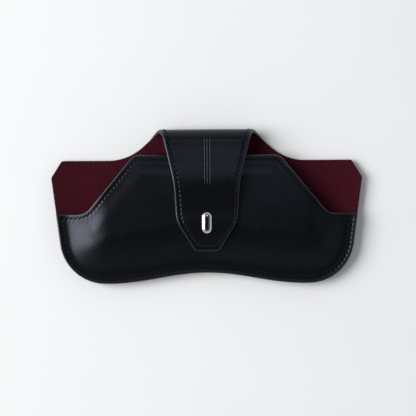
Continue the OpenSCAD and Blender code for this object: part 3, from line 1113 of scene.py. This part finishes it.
    @staticmethod
    def piece(
        name: str, points: Array, insets: Array, shell: list[Array], slots: Array, finish: Finish
    ) -> bpy.types.Object:
        """Make one object from the points that its faces use.

        Args:
            name: the object's name.
            points: (n, 3) points in mm.
            insets: distance of each from the edge, for the leather's paler rim, which is partly wear and
                partly a painted highlight.
            shell: arrays of faces.
            slots: material slot of each face in the first array; the others take the first slot.
            finish: finish of the faces; the edge is painted.

        Returns:
            The object.
        """
        used, own = np.unique(np.concatenate([f.ravel() for f in shell]), return_inverse=True)
        own = np.split(own.ravel(), np.cumsum([f.size for f in shell])[:-1])
        shell = [ids.reshape(f.shape) for ids, f in zip(own, shell)]
        slots = np.append(slots, np.zeros(sum(len(f) for f in shell[1:])))
        made = mesh_object(name, points[used], shell, (finish, Finish.EDGE), slots)
        layer = made.data.attributes.new("inset_mm", "FLOAT", "POINT")
        layer.data.foreach_set("value", insets[used].astype(np.float32))
        return made


# -------- meshes


def mesh_object(
    name: str, points: Array, faces: list[Array], finishes: tuple[Finish, ...], slots: Array | None = None
) -> bpy.types.Object:
    """Put arrays into a new smooth mesh object, with its faces turned outwards.

    The signed volume, the sum over triangles of a . (b x c) / 6, tells whether the faces point
    out; if it is negative they are all turned round.

    Args:
        name: the object's name.
        points: (n, 3) points in mm.
        faces: arrays of faces with the same number of corners in each.
        finishes: the finish of each material slot.
        slots: material slot of each face, in the order of `faces`.

    Returns:
        The object, linked to the scene.
    """
    triangles = np.concatenate([f[:, [0, k, k + 1]] for f in faces for k in range(1, f.shape[1] - 1)])
    a, b, c = (points[triangles[:, k]] for k in range(3))
    if float((a * np.cross(b, c)).sum()) < 0:
        faces = [f[:, ::-1] for f in faces]
    mesh = bpy.data.meshes.new(name)
    corners = np.concatenate([f.ravel() for f in faces]).astype(np.int32)
    sizes = np.concatenate([np.full(len(f), f.shape[1]) for f in faces])
    starts = np.concatenate([[0], np.cumsum(sizes)[:-1]]).astype(np.int32)
    mesh.vertices.add(len(points))
    mesh.vertices.foreach_set("co", (points * MM).astype(np.float32).ravel())
    mesh.loops.add(len(corners))
    mesh.loops.foreach_set("vertex_index", corners)
    mesh.polygons.add(len(sizes))
    mesh.polygons.foreach_set("loop_start", starts)
    mesh.polygons.foreach_set("use_smooth", np.ones(len(sizes), bool))
    if slots is not None:
        mesh.polygons.foreach_set("material_index", slots.astype(np.int32))
    mesh.update(calc_edges=True)
    mesh.validate()
    for finish in finishes:
        mesh.materials.append(material_of(finish))
    piece = bpy.data.objects.new(name, mesh)
    bpy.context.scene.collection.objects.link(piece)
    return piece


@dataclass(frozen=True)
class Stitch:
    """One stitch: a short bowed thread that dips into a needle hole at each end."""

    length: float = 1.9
    radius: float = 0.34
    slant: float = 32.0
    bow: float = 0.05
    dive: float = 0.42
    sides: int = 6

    def run(
        self, name: str, middles: Array, along: Array, outwards: Array, finish: Finish
    ) -> bpy.types.Object:
        """Make many stitches as one piece.

        A stitch's centreline runs along its line, turned by the slant; its height is the bow
        times one less t to the fourth, less the dive times t to the eighth, for t from -1 to 1.
        Rings of points follow it and each end closes on a pole.

        Args:
            name: the piece's name.
            middles: (n, 3) middle of each stitch in mm.
            along: (n, 3) unit direction of its line.
            outwards: (n, 3) unit normal of the surface.
            finish: the thread's finish.

        Returns:
            The new object.
        """
        t = np.array([-1.0, -0.92, -0.7, -0.35, 0.0, 0.35, 0.7, 0.92, 1.0])
        size = np.array([0.0, 0.7, 1.0, 1.0, 1.0, 1.0, 1.0, 0.7, 0.0]) * self.radius
        lean = math.radians(self.slant)
        across = np.cross(outwards, along)
        ahead = along * math.cos(lean) + across * math.sin(lean)
        beside = -along * math.sin(lean) + across * math.cos(lean)
        height = self.bow * (1 - t**4) - self.dive * t**8
        centre = (
            middles[:, None, :] + (t * self.length / 2)[None, :, None] * ahead[:, None, :]
            + height[None, :, None] * outwards[:, None, :]
        )
        count, steps, m = len(middles), len(t) - 2, self.sides
        e = np.arange(m)
        a = (np.radians(360) / m * e)[None, :, None]
        circle = np.cos(a) * beside[:, None, :] + np.sin(a) * outwards[:, None, :]
        rings = centre[:, 1:-1, None, :] + size[None, 1:-1, None, None] * circle[:, None, :, :]
        points = np.concatenate([rings.reshape(count, -1, 3), centre[:, [0, -1], :]], axis=1).reshape(-1, 3)
        each, far, after = steps * m + 2, (steps - 1) * m, (e + 1) % m
        k = m * np.arange(steps - 1)[:, None]
        quad = np.stack([k + e, k + m + e, k + m + after, k + after], -1).reshape(-1, 4)
        first = np.column_stack([e, after, np.full(m, each - 2)])
        last = np.column_stack([far + after, far + e, np.full(m, each - 1)])
        shift = (np.arange(count) * each)[:, None, None]
        quads = (quad[None] + shift).reshape(-1, 4)
        tips = (np.concatenate([first, last])[None] + shift).reshape(-1, 3)
        return mesh_object(name, points, [quads, tips], (finish,))


def on_surface(
    place: Placing, plan: Array, along: Array, depth: Array, inwards: float
) -> tuple[Array, Array, Array]:
    """Points of a laid panel with the line's direction and the surface's normal.

    Args:
        place: the function that lays plan points on the form.
        plan: (n, 2) plan points.
        along: (n, 2) directions on the plan.
        depth: depth of the points.
        inwards: 1 where greater depth lies inside the surface, -1 on a panel's inner face.

    Returns:
        Points, directions and outward normals, each (n, 3).
    """
    here = place(plan, depth)
    ahead = place(plan + 0.2 * along, depth) - place(plan - 0.2 * along, depth)
    ahead /= np.linalg.norm(ahead, axis=1)[:, None]
    across = np.column_stack([-along[:, 1], along[:, 0]])
    beside = place(plan + 0.2 * across, depth) - place(plan - 0.2 * across, depth)
    normal = np.cross(ahead, beside)
    normal /= np.linalg.norm(normal, axis=1)[:, None]
    outer = place(plan, depth - 0.1 * inwards) - here
    normal *= np.sign((normal * outer).sum(1))[:, None]
    return here, ahead, normal


# -------- sub-assemblies


def attach(piece: bpy.types.Object, bends: bool) -> None:
    """Let a piece ride on the pouch; a piece that bends across the fold only has its placing baked into its
    mesh.

    Args:
        piece: the piece.
        bends: True for a piece that crosses the fold.
    """
    if not bends:
        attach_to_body(piece, "pouch")
        return
    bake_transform(piece)


@dataclass
class Panel:
    """Leather outside and suede inside, cut to one ring and laid on the case's form."""

    form: CaseForm
    ring: PanelRing
    edge_r: float = 0.75
    lining_edge_r: float = 0.35
    glue: float = 0.01

    def build(self) -> list[bpy.types.Object]:
        """Make leather and lining, each as the pieces that the panel is parted into.

        The leather goes from the outer face to its thickness. The lining lies behind it and
        the gap for the board, and shows the stitch line more softly.

        Returns:
            The new pieces.
        """
        leather, sheet = self.form.leather, self.form.sheet
        outer = Ply(self.ring, self.place, lambda p: np.zeros(p.shape[:-1]),
                    lambda p: np.full(p.shape[:-1], leather - self.glue), self.leather_relief, self.edge_r)
        inner = Ply(self.ring, self.place, lambda p: sheet + self.gap(p),
                    lambda p: leather + self.glue + self.gap(p),
                    lambda _, inset, phase: self.softened * self.ring.line.relief(inset, phase),
                    self.lining_edge_r)
        made = []
        for ply, layer, slot, finish in (
            (outer, "leather", "black_leather", Finish.LEATHER), (inner, "lining", "wine_suede", Finish.SUEDE)
        ):
            pieces = ply.build([f"{part}_{layer}" for part in self.parts], finish)
            for piece, nodes in zip(pieces, self.parts.values()):
                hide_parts(*(f"{node}_{layer}" for node in nodes))
                attach(piece, "flap" in nodes)
            made += pieces
        return made


@dataclass
class WrapSheet(Panel):
    """Back panel, fold and flap: one cut of leather outside, glued to one of suede inside."""

    softened: float = 0.7
    crease_pitch: float = 1.45
    crease_width: float = 0.33
    crease_depth: float = 0.12
    crease_start_angle: float = 112.0
    crease_end_y: float = 10.5
    stitch_floor: float = 0.42

    def __post_init__(self) -> None:
        """Name the two parts and what each stands for; fold and flap make the part that crosses the fold."""
        self.parts = {"back_panel": ("back",), "fold_flap": ("fold", "flap")}
        self.place, self.gap = self.form.lay_sheet, self.form.back_gap

    def creases(self, plan: Array) -> Array:
        """Three lines pressed down the flap: bell-shaped grooves that fade in and out.

        Args:
            plan: (..., 2) plan points.

        Returns:
            (...) depths in mm.
        """
        x, s = plan[..., 0], plan[..., 1]
        start = self.form.fold_y + self.form.fold_r * math.radians(self.crease_start_angle)
        stop = float(self.form.flap_s(self.crease_end_y))
        length = smooth_step((s - start) / 3) * smooth_step((stop - s) / 2)
        lines = sum(bump(x - k * self.crease_pitch, self.crease_width) for k in (-1, 0, 1))
        return self.crease_depth * lines * length

    def leather_relief(self, plan: Array, inset: float, phase: Array) -> Array:
        """Stitch line, creases and a soft wave of a tenth of a millimetre; never under the table.

        Args:
            plan: (n, 2) plan points.
            inset: their distance from the edge.
            phase: their place along the stitch line.

        Returns:
            (n) depths in mm.
        """
        x, s = plan[..., 0], plan[..., 1]
        wave = 0.07 * np.sin(x / 9 + 1.3) * np.sin(s / 11) + 0.05 * np.sin(x / 17 - s / 13 + 0.6)
        depth = self.ring.line.relief(inset, phase) + self.creases(plan) + wave * (inset > 3)
        return np.maximum(depth, np.where(s < self.form.fold_y, -self.form.base_z(plan), -1.0))

    def least_depth(self, plan: Array) -> Array:
        """How deep the outer stitches must lie, so that they stay above the table."""
        return np.where(plan[:, 1] < self.form.fold_y, self.stitch_floor - self.form.base_z(plan), 0.0)


@dataclass
class FrontPanel(Panel):
    """Front of the pouch: leather over suede, swollen by what it holds."""

    softened: float = 0.5

    def __post_init__(self) -> None:
        """Name the one part and what it stands for."""
        self.parts = {"front_panel": ("front",)}
        self.place, self.gap = self.form.lay_front, self.form.front_gap

    def leather_relief(self, plan: Array, inset: float, phase: Array) -> Array:
        """Stitch line, and slow dents and rises up to a quarter of a millimetre inside it.

        Args:
            plan: (n, 2) plan points.
            inset: their distance from the edge.
            phase: their place along the stitch line.

        Returns:
            (n) depths in mm.
        """
        x, y = plan[..., 0], plan[..., 1]
        waves = (
            0.10 * np.sin(x / 10.5 + 0.7) * np.sin(y / 9 + 1.1)
            + 0.08 * np.sin(x / 19 - y / 14 + 2.0) + 0.05 * np.sin(x / 6.5 + y / 7.5)
        )
        inner = smooth_step((self.form.rim_distance(plan) - 5) / 10)
        return self.ring.line.relief(inset, phase) + waves * inner

    def least_depth(self, plan: Array) -> Array:
        """The outer stitches are clear of the table, so they may lie as high as they like."""
        return np.zeros(len(plan))


class Zone(Enum):
    """Stretches of the sewing."""

    SEAM = "sides and bottom, through both panels"
    WING = "free edge of the wings, up to the neck"
    MOUTH = "free edge of the front panel"
    FLAP = "fold and flap"


@dataclass
class Stitching:
    """All the sewing: the seam round the pocket, the wings, the mouth, the fold and the flap."""

    form: CaseForm
    wrap: WrapSheet
    front: FrontPanel
    stitch: Stitch = field(default_factory=Stitch)
    sink: float = 0.16
    seam_drop: float = 1.5
    seam_reach: float = 4.0
    neck_drop: float = 1.2

    def inside(self, zone: Zone, plan: Array) -> Array:
        """Tell which stitches of a panel's ring belong to a zone.

        Args:
            zone: the zone.
            plan: (n, 2) middles of the stitches.

        Returns:
            (n) True where they do.
        """
        below = plan[:, 1] < self.form.mouth_y - self.seam_drop
        seam = below & (self.form.rim_distance(plan) < self.seam_reach)
        flap = plan[:, 1] >= self.form.fold_y - self.neck_drop
        return {Zone.SEAM: seam, Zone.WING: ~below & ~flap, Zone.MOUTH: ~seam, Zone.FLAP: flap}[zone]

    def sew(self, name: str, panel: WrapSheet | FrontPanel, zone: Zone, on_lining: bool) -> bpy.types.Object:
        """Sew one zone of a panel's ring, in black on its leather or in wine on its lining.

        Args:
            name: the piece's name.
            panel: the panel that is sewn.
            zone: which of its stitches belong to the piece.
            on_lining: True for the suede face.

        Returns:
            The piece.
        """
        plan, along = panel.ring.stitch_middles()
        keep = self.inside(zone, plan)
        plan, along = plan[keep], along[keep]
        if on_lining:
            depth, inwards, finish = self.form.sheet + panel.gap(plan) - self.sink, -1.0, Finish.WINE_THREAD
        else:
            depth, inwards, finish = np.maximum(self.sink, panel.least_depth(plan)), 1.0, Finish.BLACK_THREAD
        return self.stitch.run(name, *on_surface(panel.place, plan, along, depth, inwards), finish)

    def build(self) -> list[bpy.types.Object]:
        """Sew every line; the stitches of fold and flap are baked in place, and the others ride on the pouch.

        Returns:
            The new pieces.
        """
        made = []
        for name, panel, zone, on_lining, replaced in (
            ("seam_stitches_front", self.front, Zone.SEAM, False, ["seam_thread"]),
            ("seam_stitches_back", self.wrap, Zone.SEAM, False, []),
            ("wing_stitches_inner", self.wrap, Zone.WING, True, ["wing_thread"]),
            ("wing_stitches_outer", self.wrap, Zone.WING, False, []),
            ("mouth_stitches_outer", self.front, Zone.MOUTH, False, ["mouth_thread"]),
            ("mouth_stitches_inner", self.front, Zone.MOUTH, True, []),
            ("flap_stitches_outer", self.wrap, Zone.FLAP, False, ["fold_thread", "flap_thread"]),
            ("flap_stitches_inner", self.wrap, Zone.FLAP, True, []),
        ):
            piece = self.sew(name, panel, zone, on_lining)
            if replaced:
                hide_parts(*replaced)
            attach(piece, zone is Zone.FLAP)
            made.append(piece)
        return made


@dataclass
class OblongStud:
    """The stud on the flap: an oblong dome with a small flat rim, riveted through the leather."""

    form: CaseForm
    rows: int = 22
    columns: int = 72
    rim: float = 0.35
    seat: float = 0.15
    root: float = 0.3

    def build(self) -> bpy.types.Object:
        """Make the dome over the CAD stud's own footprint.

        For an outline share q from 1 at the edge to 0 at the middle line, the plan shrinks
        towards that line and the height is rim + rise * sqrt(1 - q^2). The underside closes
        in a keel inside the leather.

        Returns:
            The stud.
        """
        low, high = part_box("stud")
        width, length = (high.x - low.x) / MM / 2, (high.y - low.y) / MM / 2
        middle_y, reach = (high.y + low.y) / MM / 2, length - width
        a = np.linspace(0, 2 * np.pi, self.columns, endpoint=False)
        cap = width * np.column_stack([np.cos(a), np.sin(a)])
        spine = np.column_stack([np.zeros_like(a), np.sign(np.round(np.sin(a), 9)) * reach])
        seat_at = np.array([[0.0, float(self.form.flap_s(middle_y))]])
        base = self.form.lay_sheet(seat_at, np.array([self.seat]))[0, 2]
        rise = high.z / MM - base - self.rim
        q = np.cos(np.linspace(0, np.pi / 2, self.rows))[1:-1]
        shares = np.concatenate([[0.86, 0.97, 1.0, 1.0, 0.985], 0.97 * q])
        rim_heights = [0.0, 0.0, 0.05, self.rim - 0.06, self.rim]
        heights = np.concatenate([rim_heights, self.rim + rise * np.sqrt(1 - q**2)])
        rings = shares[:, None, None] * cap[None] + spine[None]
        rings = np.concatenate([rings, np.repeat(heights[:, None, None], self.columns, 1)], -1)
        keel = [[0.0, y, z] for z in (self.rim + rise, -self.root) for y in (-reach, reach)]
        points = np.concatenate([rings.reshape(-1, 3), keel])
        n, last, pole = self.columns, len(shares) - 1, len(points) - 4
        i = np.arange(n)
        j = (i + 1) % n
        strip = np.concatenate([np.column_stack([i, j, j + n, i + n]) + n * k for k in range(last)])
        end = pole + (np.sin(a) > -TINY)
        crown = np.column_stack([i + n * last, j + n * last, end])
        foot = np.column_stack([j, i, end + 2])
        faces = [strip, crown, foot]
        piece = mesh_object("oblong_stud", self.set_down(points, middle_y, base), faces, (Finish.NICKEL,))
        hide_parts("stud")
        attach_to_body(piece, "flap")
        return piece

    def set_down(self, points: Array, y: float, base: float) -> Array:
        """Turn points made on the origin by the flap's slope about X and set them on it.

        Args:
            points: (n, 3) points in mm.
            y: where the stud's middle goes.
            base: its height there.

        Returns:
            (n, 3) points in mm.
        """
        slope = math.asin(max(0.0, self.form.flap_bend_y - y) / self.form.bend_r)
        c, s = math.cos(slope), math.sin(slope)
        x, u, v = points.T
        return np.column_stack([x, y + u * c - v * s, base + u * s + v * c])


@dataclass
class HiddenFittings:
    """Boards, magnet, steel disc and backplate, which lie between leather and lining."""

    boards: tuple[str, ...] = ("back_board", "front_board")
    metal: tuple[str, ...] = ("keeper_disc", "magnet_disc", "stud_backplate")

    def dress(self) -> list[bpy.types.Object]:
        """Give the CAD nodes their finishes; their shapes stay as they are.

        Returns:
            The nodes.
        """
        made = []
        for names, finish in ((self.boards, Finish.BOARD), (self.metal, Finish.STEEL)):
            for name in names:
                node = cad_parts[name]
                node.data.materials.clear()
                node.data.materials.append(material_of(finish))
                made.append(node)
        return made


# -------- studio


@dataclass
class Studio:
    """A pale table, a window on the left, a small skylight, and a long lens straight above the case."""

    view_width: float = 222.6
    view_height: float = 1050.0
    middle: Point = (0.64, -0.86)
    roll: float = 0.3
    table_half: float = 2500.0
    sensor: float = 36.0

    def floor(self) -> None:
        """Lay a matt painted board under the case."""
        corners = self.table_half * np.array([[-1, -1, 0], [1, -1, 0], [1, 1, 0], [-1, 1, 0]])
        mesh_object("floor", corners, [np.array([[0, 1, 2, 3]])], (Finish.TABLE,))

    def light(
        self, name: str, at: tuple[float, float, float], size: float, watts: float, colour: str
    ) -> None:
        """Hang a square soft light that faces the case.

        Args:
            name: the light's name.
            at: its place in metres.
            size: its side in metres.
            watts: its strength.
            colour: its sRGB colour.
        """
        lamp = bpy.data.lights.new(name, "AREA")
        lamp.size, lamp.energy, lamp.color = size, watts, linear(colour)[:3]
        holder = bpy.data.objects.new(name, lamp)
        bpy.context.scene.collection.objects.link(holder)
        holder.location = at
        x, y, z = at
        holder.rotation_euler = (math.atan2(math.hypot(x, y), z), 0, math.atan2(x, -y))

    def sky(self) -> None:
        """Light the room: bright towards the walls, and dim straight above."""
        world = cleared(bpy.data.worlds.new("room"))
        bpy.context.scene.world = world
        towards = add_node(world, "TexCoord", output="Generated")
        height = add_node(world, "SeparateXYZ", links={0: towards}, output="Z")
        strength = add_node(world, "MapRange", ranged(0.35, 0.95, 0.765, 0.015), {"Value": height})
        walls = add_node(world, "Background", {"Color": linear("#f5f6f5")}, {"Strength": strength})
        add_node(world, "OutputWorld", links={"Surface": walls})

    def camera(self) -> None:
        """Hang the camera over the case, looking straight down."""
        lens = bpy.data.cameras.new("camera")
        lens.sensor_width = self.sensor
        lens.lens = self.sensor * self.view_height / self.view_width
        lens.clip_start, lens.clip_end = 0.01, 20.0
        holder = bpy.data.objects.new("camera", lens)
        bpy.context.scene.collection.objects.link(holder)
        holder.location = (self.middle[0] * MM, self.middle[1] * MM, self.view_height * MM)
        holder.rotation_euler = (0, 0, math.radians(-self.roll))
        bpy.context.scene.camera = holder

    def build(self) -> None:
        """Set up table, lights, room and camera."""
        bpy.context.scene.view_settings.view_transform = "Standard"
        self.floor()
        self.light("window", (-1.5, 0.18, 1.3), 1.4, 46.0, "#fffffd")
        self.light("skylight", (0.06, 0.33, 1.25), 0.38, 0.60, "#dbe6fd")
        self.sky()
        self.camera()


def main() -> None:
    """Build the studio and then the case, from its sheet to its stud."""
    logging.basicConfig(level=logging.INFO, format="%(name)s: %(message)s")
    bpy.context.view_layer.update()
    Studio().build()
    form = CaseForm()
    wrap, front = WrapSheet(form, sheet_ring(form)), FrontPanel(form, front_ring(form))
    made = [
        *wrap.build(), *front.build(), *Stitching(form, wrap, front).build(),
        OblongStud(form).build(), *HiddenFittings().dress(),
    ]
    for piece in made:
        log.info("%s: %d faces", piece.name, len(piece.data.polygons))


if __name__ == "__main__":
    main()
